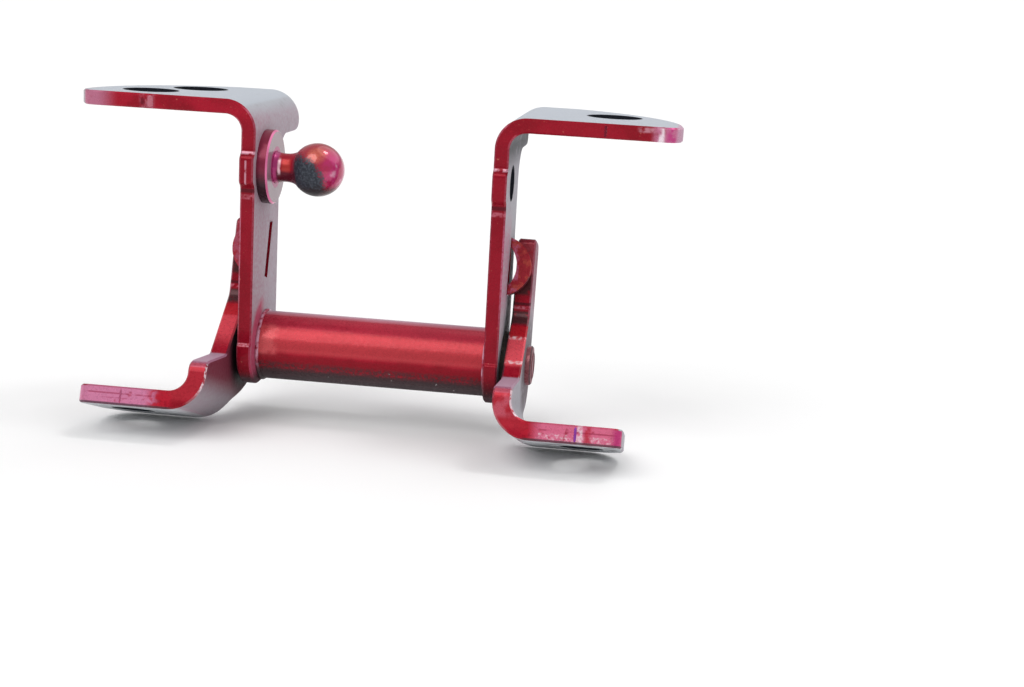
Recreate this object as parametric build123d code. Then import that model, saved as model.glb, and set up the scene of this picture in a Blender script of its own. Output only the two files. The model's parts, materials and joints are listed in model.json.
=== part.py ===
from build123d import *
import os

# Pressed-steel car door hinge. Millimetres. Origin on the pivot line, midway between the brackets.
# X runs along the pin, Y towards the back of the hinge, Z up to the door.

# Sheet, pin and running fits
DOOR_SHEET = 3.5
LEAF_SHEET = 4.4
PIN_R = 3.5
PIN_HEAD_R = 4.9
PIN_HEAD_T = 1.4
RUN_RADIAL = 0.05
RUN_AXIAL = 0.1
SEAT_GAP = 0.02
EDGE_BREAK = 0.4
SHARP_ANGLE = 20.0

# Cross tube and bushes
BRACKET_GAP = 57.2
TUBE_R = 8.5
TUBE_WALL = 2.3
BUSH_WALL = 1.2
BUSH_FLANGE_T = 1.4
BUSH_FLANGE_R = 8.0
BUSH_TAIL = 2.5

# Door bracket: upright plate
DOOR_FACE = 61.5
PLATE_FRONT = 12.5
PLATE_BACK = 11.0
TUBE_LAND = 0.6
FOOT_ROUND = 9.5
FOOT_PROUD = 0.7
FOOT_PROUD_TOP = 2.6
HOOK_DROP = 10.0
HOOK_INNER_ROUND = 7.0
HOOK_OUTER_ROUND = 3.0
DOOR_BEND = 4.0

# Door bracket: flange
TIP_R = 40.0
TIP_CENTRE_Y = -8.0
TIP_CORNER = 4.0
BACK_TRIM = 2.0
DOOR_HOLE_R = 6.6
LEFT_HOLE_FRONT = (26.4, 0.0)
LEFT_HOLE_BACK = (18.5, 15.0)
RIGHT_HOLE = (22.9, 10.0)

# Ball stud and the boss round its hole
STUD_Y = -2.4
STUD_Z = 45.0
STUD_HOLE_R = 4.2
BALL_R = 6.5
BALL_REACH = 13.0
NECK_R = 3.4
COLLAR_R = 9.0
COLLAR_T = 2.6
TAIL_HEAD_R = 5.8
TAIL_HEAD_T = 1.4
BOSS_BULGE = 1.5
BOSS_HALF = 4.4
BOSS_RAMP = 1.4

# Body leaf, set out in its own frame, which leans back about the pivot line
LEAF_LEAN = 19.0
FOOT_FRONT = 30.5
FOOT_BACK = 5.0
FOOT_DROP = 20.2
FOOT_REACH = 26.0
FOOT_CORNER_FRONT = 3.0
FOOT_CORNER_BACK = 9.0
FOOT_HOLE_R = 5.0
FOOT_HOLE_OUT = 16.3
LEDGE_FRONT_DROP = 8.5
LEDGE_BACK = 14.8
LEDGE_BACK_DROP = 4.9
SHOULDER_RISE = 11.8
EYE_R = 10.5
EYE_DROP = 8.0
EYE_ROUND = 8.4
TONGUE_OVER = 0.6
TONGUE_BACK = 4.0
LEAF_BEND = 4.5
LEAF_ROUND = 3.0

# Lanced stop: a bridge of the plate, pressed out to meet the tongue of the leaf.
# Stop and tongue lean back together, and meet in a plane that passes in front of the pivot line.
STOP_LEAN = 16.5
STOP_BACKSET = -3.3
STOP_RISE = 23.5
STOP_LENGTH = 14.2
STOP_WIDTH = 2.6
STOP_BULGE = 5.4
STOP_GAP = 0.3

# Places worked out from the sizes above
PLATE_IN = BRACKET_GAP / 2
PLATE_OUT = PLATE_IN + DOOR_SHEET
PLATE_FOOT = TUBE_R + TUBE_LAND
HOOK_Z = DOOR_FACE - HOOK_DROP
FLANGE_BACK = TIP_CENTRE_Y + TIP_R - BACK_TRIM
FLANGE_TIP = PLATE_OUT + TIP_R
LEAF_IN = PLATE_OUT + BUSH_FLANGE_T + RUN_AXIAL
LEAF_OUT = LEAF_IN + LEAF_SHEET
LEAF_TIP = LEAF_OUT + FOOT_REACH
LEAF_BEND_OUT = LEAF_BEND + LEAF_SHEET
TONGUE_TOP = STOP_RISE + STOP_LENGTH / 2 + TONGUE_OVER
BUSH_BORE_R = PIN_R + RUN_RADIAL
BUSH_R = BUSH_BORE_R + BUSH_WALL
BUSH_HOLE_R = BUSH_R + SEAT_GAP
SPARE = 5.0

UPRIGHT = Plane(origin=(0, 0, 0), x_dir=(0, 1, 0), z_dir=(1, 0, 0))
ALONG_Y = Plane(origin=(0, 0, 0), x_dir=(1, 0, 0), z_dir=(0, -1, 0))
ACROSS = Rotation(0, 90, 0)


def rod(radius, start, end, y=0.0, z=0.0):
    """A round bar along X from start to end."""
    bar = Cylinder(radius, end - start, align=(Align.CENTER, Align.CENTER, Align.MIN))
    return Pos(start, y, z) * ACROSS * bar


def side_slab(outline, start, end):
    """A closed outline in Y and Z, given thickness along X from start to end."""
    return Pos(start, 0, 0) * extrude(UPRIGHT * make_face(outline), end - start)


def soften(sheet):
    """Breaks the sharp edges of a sheet piece, as deburring and paint do on sheared steel."""
    faces_of = {}
    for face in sheet.faces():
        for edge in face.edges():
            faces_of.setdefault(edge, []).append(face)
    sharp = []
    for edge, faces in faces_of.items():
        if len(faces) == 2:
            middle = edge.position_at(0.5)
            if faces[0].normal_at(middle).get_angle(faces[1].normal_at(middle)) > SHARP_ANGLE:
                sharp.append(edge)
    return chamfer(sharp, EDGE_BREAK)


def bent_strip(inside, outside, foot, face, tip, bend, front, back):
    """An L of sheet: an upright from inside to outside, bent outwards into a flange whose top is at face."""
    sheet = outside - inside
    knee = make_face(Polyline(
        (inside, foot), (outside, foot), (outside, face - sheet),
        (tip, face - sheet), (tip, face), (inside, face), close=True))
    outer = knee.vertices().sort_by_distance((inside, face, 0))[0]
    knee = fillet(outer, bend + sheet)
    inner = knee.vertices().sort_by_distance((outside, face - sheet, 0))[0]
    knee = fillet(inner, bend)
    return Pos(0, back, 0) * extrude(ALONG_Y * knee, back - front)


def plate_outline():
    """Side view of the door bracket: foot round the tube, boss at the stud, hook under the flange."""
    boss_front = -PLATE_FRONT - BOSS_BULGE
    boss_low = STUD_Z - BOSS_HALF
    boss_high = STUD_Z + BOSS_HALF
    foot_front = -PLATE_FRONT - FOOT_PROUD
    corners = [
        ((foot_front, -PLATE_FOOT), FOOT_ROUND),
        ((PLATE_BACK, -PLATE_FOOT), FOOT_ROUND),
        ((PLATE_BACK, HOOK_Z), HOOK_INNER_ROUND),
        ((FLANGE_BACK, HOOK_Z), HOOK_OUTER_ROUND),
        ((FLANGE_BACK, DOOR_FACE + SPARE), HOOK_OUTER_ROUND),
        ((-PLATE_FRONT, DOOR_FACE + SPARE), HOOK_OUTER_ROUND),
        ((-PLATE_FRONT, boss_high), BOSS_RAMP),
        ((boss_front, boss_high - BOSS_RAMP), BOSS_RAMP),
        ((boss_front, boss_low + BOSS_RAMP), BOSS_RAMP),
        ((-PLATE_FRONT, boss_low), BOSS_RAMP),
        ((-PLATE_FRONT, FOOT_PROUD_TOP), FOOT_PROUD),
        ((foot_front, FOOT_PROUD_TOP - FOOT_PROUD), FOOT_PROUD),
    ]
    points = [point for point, _ in corners]
    rounds = [radius for _, radius in corners]
    return FilletPolyline(*points, radius=rounds, close=True)


def flange_plan():
    """Plan of the door bracket: the plate's strip, and a flange with straight front and back and a round end."""
    field = Pos(PLATE_IN, -PLATE_FRONT) * Rectangle(
        FLANGE_TIP - PLATE_IN, PLATE_FRONT + FLANGE_BACK, align=(Align.MIN, Align.MIN))
    strip = Pos(PLATE_IN, -PLATE_FRONT - SPARE) * Rectangle(
        DOOR_SHEET, PLATE_FRONT + SPARE + FLANGE_BACK, align=(Align.MIN, Align.MIN))
    plan = (field & Pos(PLATE_OUT, TIP_CENTRE_Y) * Circle(TIP_R)) + strip
    tip_corner = plan.vertices().sort_by_distance((FLANGE_TIP, -PLATE_FRONT, 0))[0]
    return fillet(tip_corner, TIP_CORNER)


def stop_bridge():
    """The lanced bridge, and the window it leaves in the plate, leaning with the leaf's tongue."""
    low = STOP_RISE - STOP_LENGTH / 2
    high = STOP_RISE + STOP_LENGTH / 2
    band = make_face([
        ThreePointArc((PLATE_OUT, low), (PLATE_OUT + STOP_BULGE, STOP_RISE), (PLATE_OUT, high)),
        Line((PLATE_OUT, high), (PLATE_IN, high)),
        ThreePointArc((PLATE_IN, high), (PLATE_IN + STOP_BULGE, STOP_RISE), (PLATE_IN, low)),
        Line((PLATE_IN, low), (PLATE_OUT, low)),
    ])
    back = STOP_BACKSET - STOP_GAP
    bridge = Pos(0, back, 0) * extrude(ALONG_Y * band, STOP_WIDTH)
    window = Pos(PLATE_IN, back, low) * Box(
        DOOR_SHEET, STOP_WIDTH, STOP_LENGTH, align=(Align.MIN, Align.MAX, Align.MIN))
    lean = Rotation(-STOP_LEAN, 0, 0)
    return lean * bridge, lean * window


def door_bracket(holes):
    """Right-hand door bracket, with round holes in its flange at (out from the plate, y)."""
    blank = bent_strip(PLATE_IN, PLATE_OUT, -PLATE_FOOT - SPARE, DOOR_FACE, FLANGE_TIP,
                       DOOR_BEND, -PLATE_FRONT - BOSS_BULGE, FLANGE_BACK)
    blank &= side_slab(plate_outline(), PLATE_IN - SPARE, FLANGE_TIP + SPARE)
    blank &= Pos(0, 0, -PLATE_FOOT - SPARE) * extrude(flange_plan(), DOOR_FACE + PLATE_FOOT + 2 * SPARE)
    bridge, window = stop_bridge()
    bracket = soften(blank) - window + bridge
    bracket -= rod(BUSH_HOLE_R, PLATE_IN - SPARE, PLATE_OUT + SPARE)
    bracket -= rod(STUD_HOLE_R, PLATE_IN - SPARE, PLATE_OUT + SPARE, STUD_Y, STUD_Z)
    for out, y in holes:
        bracket -= Pos(PLATE_OUT + out, y, DOOR_FACE) * Cylinder(DOOR_HOLE_R, 4 * DOOR_SHEET)
    return bracket


def tongue_front(rise):
    """A point of the tongue's front edge, at a height along the stop, in the leaf's own frame."""
    point = Vector(STOP_BACKSET, rise, 0).rotate(Axis.Z, LEAF_LEAN - STOP_LEAN)
    return (point.X, point.Y)


def body_leaf():
    """Right-hand body leaf: foot flange, ledge, eye round the pin and tongue behind the stop."""
    corners = [
        ((-FOOT_FRONT, -FOOT_DROP - SPARE), LEAF_ROUND),
        ((-FOOT_BACK, -FOOT_DROP - SPARE), LEAF_ROUND),
        ((-FOOT_BACK, -FOOT_DROP + LEAF_BEND_OUT / 2), LEAF_ROUND),
        ((EYE_R, -EYE_DROP), EYE_ROUND),
        ((TONGUE_BACK, TONGUE_TOP), LEAF_ROUND),
        (tongue_front(TONGUE_TOP), LEAF_ROUND / 2),
        (tongue_front(SHOULDER_RISE), LEAF_ROUND),
        ((-LEDGE_BACK, -LEDGE_BACK_DROP), LEAF_ROUND),
        ((-FOOT_FRONT, -LEDGE_FRONT_DROP), LEAF_ROUND),
    ]
    points = [point for point, _ in corners]
    rounds = [radius for _, radius in corners]
    upright = side_slab(FilletPolyline(*points, radius=rounds, close=True), LEAF_IN - SPARE, LEAF_TIP + SPARE)
    strip = bent_strip(LEAF_IN, LEAF_OUT, -TONGUE_TOP - SPARE, FOOT_DROP, LEAF_TIP,
                       LEAF_BEND, -FOOT_FRONT, EYE_R)
    leaf = mirror(strip, about=Plane.XY) & upright
    corners_out = leaf.edges().filter_by(Axis.Z).sort_by(Axis.X)[-2:].sort_by(Axis.Y)
    leaf = fillet(corners_out[0], FOOT_CORNER_FRONT)
    corners_out = leaf.edges().filter_by(Axis.Z).sort_by(Axis.X)[-1:]
    leaf = soften(fillet(corners_out, FOOT_CORNER_BACK))
    leaf -= rod(PIN_R + SEAT_GAP, LEAF_IN - SPARE, LEAF_OUT + SPARE)
    hole_y = -(FOOT_FRONT + FOOT_BACK) / 2
    leaf -= Pos(LEAF_OUT + FOOT_HOLE_OUT, hole_y, -FOOT_DROP) * Cylinder(FOOT_HOLE_R, 4 * LEAF_SHEET)
    return Rotation(-LEAF_LEAN, 0, 0) * leaf


def pin_bush():
    """Right-hand flanged bush: sleeve through the plate, flange between plate and leaf."""
    sleeve = rod(BUSH_R, PLATE_IN - BUSH_TAIL, PLATE_OUT)
    flange = rod(BUSH_FLANGE_R, PLATE_OUT, PLATE_OUT + BUSH_FLANGE_T)
    bore = rod(BUSH_BORE_R, PLATE_IN - BUSH_TAIL - SPARE, PLATE_OUT + SPARE)
    return sleeve + flange - bore


def cross_tube():
    """Tube between the plates."""
    return rod(TUBE_R, -PLATE_IN, PLATE_IN) - rod(TUBE_R - TUBE_WALL, -PLATE_IN - SPARE, PLATE_IN + SPARE)


def ball_stud():
    """Ball stud of the left plate, turned in one: ball, neck, collar on the inner face, tail riveted outside."""
    rivet_end = -PLATE_OUT - TAIL_HEAD_T
    rivet_break = TAIL_HEAD_T / 2
    collar_end = -PLATE_IN + COLLAR_T
    tail_r = STUD_HOLE_R - SEAT_GAP
    ball_x = -PLATE_IN + BALL_REACH
    neck_end = ball_x - (BALL_R ** 2 - NECK_R ** 2) ** 0.5
    shank = Polyline(
        (ball_x + BALL_R, 0), (rivet_end, 0),
        (rivet_end, TAIL_HEAD_R - rivet_break), (rivet_end + rivet_break, TAIL_HEAD_R),
        (-PLATE_OUT, TAIL_HEAD_R), (-PLATE_OUT, tail_r), (-PLATE_IN, tail_r), (-PLATE_IN, COLLAR_R),
        (collar_end - EDGE_BREAK, COLLAR_R), (collar_end, COLLAR_R - EDGE_BREAK),
        (collar_end, NECK_R), (neck_end, NECK_R))
    ball = ThreePointArc((neck_end, NECK_R), (ball_x, BALL_R), (ball_x + BALL_R, 0))
    return Pos(0, STUD_Y, STUD_Z) * revolve(make_face([shank, ball]), Axis.X)


def hinge_pin():
    """Pin through both leaves, with a flat riveted head outside each leaf."""
    pin = rod(PIN_R, -LEAF_OUT, LEAF_OUT)
    for side in (-1, 1):
        start, end = sorted((side * LEAF_OUT, side * (LEAF_OUT + PIN_HEAD_T)))
        head = rod(PIN_HEAD_R, start, end)
        rim = head.edges().sort_by(Axis.X)[-1 if side > 0 else 0]
        pin += chamfer(rim, EDGE_BREAK)
    return pin


def left_of(right_piece):
    """The left-hand twin of a right-hand piece."""
    return mirror(right_piece, about=Plane.YZ)


PIECES = {
    "door_bracket_left": left_of(door_bracket([LEFT_HOLE_FRONT, LEFT_HOLE_BACK])),
    "door_bracket_right": door_bracket([RIGHT_HOLE]),
    "cross_tube": cross_tube(),
    "ball_stud": ball_stud(),
    "pin_bush_left": left_of(pin_bush()),
    "pin_bush_right": pin_bush(),
    "body_leaf_left": left_of(body_leaf()),
    "body_leaf_right": body_leaf(),
    "hinge_pin": hinge_pin(),
}

os.makedirs("parts", exist_ok=True)
for name, piece in PIECES.items():
    export_step(piece, f"parts/{name}.step")
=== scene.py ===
"""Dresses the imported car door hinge: red spray over grey primer, rubbed ball, dark bushes, small marks."""
import json
import logging
import math
from dataclasses import dataclass
from enum import Enum

import bpy
import numpy as np
from mathutils import Matrix, Vector


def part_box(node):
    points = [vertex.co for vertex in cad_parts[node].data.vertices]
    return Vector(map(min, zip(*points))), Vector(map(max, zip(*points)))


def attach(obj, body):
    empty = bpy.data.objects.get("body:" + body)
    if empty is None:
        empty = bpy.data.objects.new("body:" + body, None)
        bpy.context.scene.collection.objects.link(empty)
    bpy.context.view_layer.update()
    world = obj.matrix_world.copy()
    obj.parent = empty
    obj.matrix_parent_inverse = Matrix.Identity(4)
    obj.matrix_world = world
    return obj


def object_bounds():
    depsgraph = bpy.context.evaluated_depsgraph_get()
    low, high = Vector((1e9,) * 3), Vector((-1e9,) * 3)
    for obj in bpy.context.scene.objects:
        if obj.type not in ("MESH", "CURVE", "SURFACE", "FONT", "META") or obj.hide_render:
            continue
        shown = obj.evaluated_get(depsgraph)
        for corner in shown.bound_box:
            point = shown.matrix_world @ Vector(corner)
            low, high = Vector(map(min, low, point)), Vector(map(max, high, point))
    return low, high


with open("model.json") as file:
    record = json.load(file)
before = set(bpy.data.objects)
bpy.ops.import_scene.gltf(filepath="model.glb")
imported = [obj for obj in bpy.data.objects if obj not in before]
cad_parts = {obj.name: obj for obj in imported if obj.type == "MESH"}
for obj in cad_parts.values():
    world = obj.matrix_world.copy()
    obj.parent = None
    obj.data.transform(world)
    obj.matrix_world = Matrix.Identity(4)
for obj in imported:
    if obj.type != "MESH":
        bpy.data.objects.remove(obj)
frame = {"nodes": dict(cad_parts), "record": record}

LOG = logging.getLogger("door_hinge")
CAD_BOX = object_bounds()
MM = 0.001
Colour = tuple[float, float, float]
Triple = tuple[float, float, float]
Range = tuple[float, ...]
Socket = bpy.types.NodeSocket
Material = bpy.types.Material
Piece = bpy.types.Object

# fixed directions, the leaves' lean in degrees, and Y and Z of the stud's line in millimetres
ACROSS: Triple = (1.0, 0.0, 0.0)
BACK: Triple = (0.0, 1.0, 0.0)
FRONT: Triple = (0.0, -1.0, 0.0)
UP: Triple = (0.0, 0.0, 1.0)
LEAF_LEAN = 19.0
STUD_LINE = (-2.4, 45.0)

# soft edge of a range that gives none
SOFT_EDGE = 0.15


class Body(Enum):
    """The two rigid bodies of the hinge."""

    BODY_SIDE = "body_side"
    DOOR_SIDE = "door_side"


class Slot(Enum):
    """Names of two of the record's material slots."""

    RED_PAINT = "red_paint"
    WORN_BALL = "worn_ball"


@dataclass(frozen=True)
class Bore:
    """A round hole of the record."""

    centre: Vector
    axis: Vector
    radius: float

    @staticmethod
    def named(name: str) -> "Bore":
        """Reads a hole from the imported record, in metres."""
        mount = next(row for row in frame["record"]["mounts"] if row["name"] == name)
        return Bore(Vector(mount["pos_m"]), Vector(mount["axis"]), mount["dims"]["r_mm"] * MM)


class NodeSheet:
    """A material's node tree, with short calls for the nodes that the finishes share."""

    def __init__(self, name: str) -> None:
        """Starts a material with a Principled shader.

        Args:
            name: Name of the material.
        """
        self.material = bpy.data.materials.new(name)
        self.material.use_nodes = True
        self.tree = self.material.node_tree
        self.shader = self.tree.nodes["Principled BSDF"]
        self.coords = self.tree.nodes.new("ShaderNodeTexCoord")

    def feed(self, value: object, target: Socket) -> None:
        """Links a socket, or sets a plain number, vector or colour.

        Args:
            value: A node socket, a number, a vector or a colour.
            target: The input that takes it.
        """
        if isinstance(value, Socket):
            self.tree.links.new(value, target)
        elif target.type == "RGBA":
            target.default_value = (*value, 1.0)
        else:
            target.default_value = value

    def set(self, name: str, value: object) -> None:
        """Feeds an input of the shader by its name."""
        self.feed(value, self.shader.inputs[name])

    def noise(self, size: float, detail: float = 3.0) -> Socket:
        """Noise on Object coordinates.

        Args:
            size: Rough size of one blotch, in metres.
            detail: Octaves of finer noise.

        Returns:
            The noise value, about 0.5 on average.
        """
        node = self.tree.nodes.new("ShaderNodeTexNoise")
        node.inputs["Scale"].default_value = 1.0 / size
        node.inputs["Detail"].default_value = detail
        self.feed(self.coords.outputs["Object"], node.inputs["Vector"])
        return node.outputs["Fac"]

    def math(self, operation: str, first: object, second: object = 0.0, third: object = 0.0) -> Socket:
        """One Math node.

        Args:
            operation: Name of the operation.
            first: First number or socket.
            second: Second number or socket.
            third: Third number or socket, where the operation has one.

        Returns:
            The node's value.
        """
        node = self.tree.nodes.new("ShaderNodeMath")
        node.operation = operation
        for socket, value in zip(node.inputs, (first, second, third)):
            self.feed(value, socket)
        return node.outputs["Value"]

    def times(self, first: object, second: object) -> Socket:
        """Product of two values."""
        return self.math("MULTIPLY", first, second)

    def jitter(self, value: object, noise: Socket, amount: float) -> Socket:
        """Shifts a value by amount times the noise less its average."""
        return self.math("MULTIPLY_ADD", self.math("SUBTRACT", noise, 0.5), amount, value)

    def vector(self, operation: str, first: object, second: object, output: str = "Vector") -> Socket:
        """One Vector Math node.

        Args:
            operation: Name of the operation.
            first: First vector or socket.
            second: Second vector or socket.
            output: Which output to read.

        Returns:
            The node's vector or value.
        """
        node = self.tree.nodes.new("ShaderNodeVectorMath")
        node.operation = operation
        self.feed(first, node.inputs[0])
        self.feed(second, node.inputs[1])
        return node.outputs[output]

    def ramp(self, value: object, low: float, high: float, to_low: float = 0.0,
             to_high: float = 1.0) -> Socket:
        """Smooth step of a value.

        Args:
            value: The socket to read.
            low: Where the step starts.
            high: Where the step ends.
            to_low: Result below the step.
            to_high: Result above the step.

        Returns:
            The stepped value.
        """
        node = self.tree.nodes.new("ShaderNodeMapRange")
        node.interpolation_type = "SMOOTHSTEP"
        for name, number in (("From Min", low), ("From Max", high), ("To Min", to_low), ("To Max", to_high)):
            node.inputs[name].default_value = number
        self.feed(value, node.inputs["Value"])
        return node.outputs["Result"]

    def band(self, value: object, low: float, high: float, edge: float = SOFT_EDGE) -> Socket:
        """A soft band: 1 between low and high, fading to 0 over edge outside.

        Args:
            value: The socket to read.
            low: Where the full band starts.
            high: Where it ends.
            edge: Width of its soft edge.

        Returns:
            The band's strength.
        """
        half = (high - low) / 2
        away = self.math("ABSOLUTE", self.math("SUBTRACT", value, low + half))
        return self.ramp(away, half, half + edge, 1.0, 0.0)

    def mix(self, factor: object, first: object, second: object) -> Socket:
        """Mix of two colours.

        Args:
            factor: Share of the second colour.
            first: First colour or socket.
            second: Second colour or socket.

        Returns:
            The mixed colour.
        """
        node = self.tree.nodes.new("ShaderNodeMix")
        node.data_type = "RGBA"
        colours = [socket for socket in node.inputs if socket.type == "RGBA"]
        self.feed(factor, node.inputs["Factor"])
        self.feed(first, colours[0])
        self.feed(second, colours[1])
        return next(socket for socket in node.outputs if socket.type == "RGBA")

    def dot(self, output: str, direction: Triple) -> Socket:
        """Product of a surface coordinate and a fixed direction of the hinge."""
        fixed = Vector(direction).normalized()
        return self.vector("DOT_PRODUCT", self.coords.outputs[output], fixed, "Value")

    def facing(self, direction: Triple) -> Socket:
        """Cosine between the surface's own normal and a fixed direction of the hinge."""
        return self.dot("Normal", direction)

    def along(self, direction: Triple) -> Socket:
        """Object coordinate along a fixed direction of the hinge, in metres."""
        return self.dot("Object", direction)

    def from_line(self, point: Vector, axis: Vector) -> Socket:
        """Distance from a straight line, as the length of (place - point) crossed with the axis.

        Args:
            point: A point of the line, in metres.
            axis: Direction of the line.

        Returns:
            The distance in metres.
        """
        arm = self.vector("SUBTRACT", self.coords.outputs["Object"], point)
        swept = self.vector("CROSS_PRODUCT", arm, axis.normalized())
        return self.vector("LENGTH", swept, (0.0, 0.0, 0.0), "Value")

    def bump(self, height: Socket, depth: float) -> None:
        """Puts a height field on the shader's normal.

        Args:
            height: Height from 0 to 1.
            depth: Height of a full step, in metres.
        """
        node = self.tree.nodes.new("ShaderNodeBump")
        node.inputs["Strength"].default_value = 1.0
        node.inputs["Distance"].default_value = depth
        self.feed(height, node.inputs["Height"])
        self.set("Normal", node.outputs["Normal"])


class Measure(Enum):
    """What a touch is placed by, as named in its fields: lengths in millimetres, directions as cosines."""

    X = "x"
    OUT = "out"
    Y = "y"
    Z = "z"
    RISE = "rise"
    PIVOT = "pivot"
    STUD = "stud"
    NX = "nx"
    OUTWARD = "outward"
    FRONT = "front"
    UP = "up"


@dataclass(frozen=True)
class Blotch:
    """Noise that breaks a touch up: nothing below low, full above high; size in millimetres."""

    size: float
    low: float
    high: float


@dataclass(frozen=True)
class Touch:
    """One local colour of a finish: a colour, its share, how it is broken up and where it lies.

    A range is (low, high) or (low, high, edge): full between low and high, fading over edge outside.
    """

    colour: Colour
    share: float
    blotch: Blotch | None = None
    x: Range = ()
    out: Range = ()
    y: Range = ()
    z: Range = ()
    rise: Range = ()
    pivot: Range = ()
    stud: Range = ()
    nx: Range = ()
    outward: Range = ()
    front: Range = ()
    up: Range = ()


class TouchSheet(NodeSheet):
    """A node sheet with two noises that knows the hinge's measures and lays touches of colour."""

    def __init__(self, name: str, broad_size: float, fine_size: float, fine_detail: float = 3.0) -> None:
        """Starts a material with its two noises and no measure made yet.

        Args:
            name: Name of the material.
            broad_size: Size of the broad noise, in metres.
            fine_size: Size of the fine noise.
            fine_detail: Octaves of the fine noise.
        """
        super().__init__(name)
        self.broad = self.noise(broad_size)
        self.fine = self.noise(fine_size, fine_detail)
        self.known: dict[Measure, Socket] = {}

    def measured(self, measure: Measure) -> Socket:
        """The value of a measure, made once for each material.

        Args:
            measure: Which measure.

        Returns:
            Its socket, in millimetres or as a cosine.
        """
        if measure not in self.known:
            self.known[measure] = self.make(measure)
        return self.known[measure]

    def make(self, measure: Measure) -> Socket:
        """Makes the nodes of a measure.

        Args:
            measure: Which measure.

        Returns:
            Its socket.
        """
        tilt = math.radians(LEAF_LEAN)
        lengths = {Measure.X: ACROSS, Measure.Y: BACK, Measure.Z: UP,
                   Measure.RISE: (0.0, math.sin(tilt), math.cos(tilt))}
        cosines = {Measure.NX: ACROSS, Measure.FRONT: FRONT, Measure.UP: UP}
        lines = {Measure.PIVOT: Vector(), Measure.STUD: Vector((0.0, *STUD_LINE)) * MM}
        if measure in lengths:
            return self.times(self.along(lengths[measure]), 1.0 / MM)
        if measure in cosines:
            return self.facing(cosines[measure])
        if measure in lines:
            return self.times(self.from_line(lines[measure], Vector(ACROSS)), 1.0 / MM)
        if measure is Measure.OUT:
            return self.math("ABSOLUTE", self.measured(Measure.X))
        return self.times(self.measured(Measure.NX), self.math("SIGN", self.measured(Measure.X)))

    def lay(self, colour: object, touch: Touch) -> Socket:
        """Lays a touch over a colour.

        Args:
            colour: Colour so far.
            touch: The touch.

        Returns:
            The touched colour.
        """
        share: object = touch.share
        for measure in Measure:
            span = getattr(touch, measure.value)
            if span:
                share = self.times(share, self.band(self.measured(measure), *span))
        if touch.blotch:
            noise = self.noise(touch.blotch.size * MM)
            share = self.times(share, self.ramp(noise, touch.blotch.low, touch.blotch.high))
        return self.mix(share, colour, touch.colour)


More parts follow.
